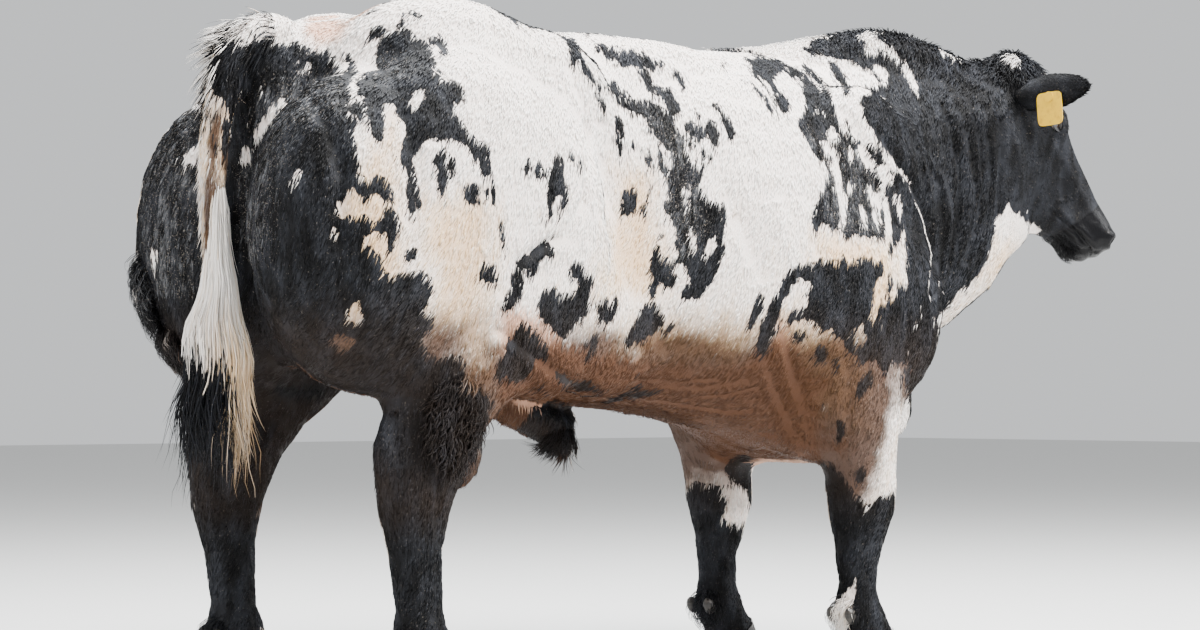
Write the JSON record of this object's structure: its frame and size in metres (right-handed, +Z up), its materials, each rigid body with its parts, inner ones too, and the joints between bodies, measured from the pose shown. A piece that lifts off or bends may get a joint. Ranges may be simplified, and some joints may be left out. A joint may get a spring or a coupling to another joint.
{
  "type": "belgian blue bull model",
  "caption": "Life-size standing Belgian Blue bull, double-muscled, head turned to its right, tail hanging, on flat hooves.",
  "frame": {"origin": "on the floor, below the middle of the bounding box", "axes": "+X towards the head along the body, +Y to the animal's left, +Z up"},
  "size_m": [2.525, 0.9436, 1.5679],
  "materials": {
    "hide": "short hair over hide",
    "bare_skin": "thinly haired skin",
    "hoof_horn": "horn",
    "eye": "moist and glossy",
    "tail_hair": "long coarse hair",
    "yellow_plastic": "flexible plastic, blank"
  },
  "bodies": {
    "root": {"claw_fore_left_left": "hoof_horn", "claw_fore_left_right": "hoof_horn", "claw_fore_right_left": "hoof_horn", "claw_fore_right_right": "hoof_horn", "claw_hind_left_left": "hoof_horn", "claw_hind_left_right": "hoof_horn", "claw_hind_right_left": "hoof_horn", "claw_hind_right_right": "hoof_horn", "dewclaw_fore_left_left": "hoof_horn", "dewclaw_fore_left_right": "hoof_horn", "dewclaw_fore_right_left": "hoof_horn", "dewclaw_fore_right_right": "hoof_horn", "dewclaw_hind_left_left": "hoof_horn", "dewclaw_hind_left_right": "hoof_horn", "dewclaw_hind_right_left": "hoof_horn", "dewclaw_hind_right_right": "hoof_horn", "ear_left": "hide", "ear_right": "hide", "ear_tag_right": "yellow_plastic", "eye_left": "eye", "eye_right": "eye", "fore_leg_left": "hide", "fore_leg_right": "hide", "head": "hide", "hind_leg_left": "hide", "hind_leg_right": "hide", "hindquarter_left": "hide", "hindquarter_right": "hide", "neck": "hide", "scrotum": "bare_skin", "sheath": "bare_skin", "tail_lower": "hide", "tail_switch": "tail_hair", "tail_upper": "hide", "torso": "hide"}
  },
  "joints": []
}
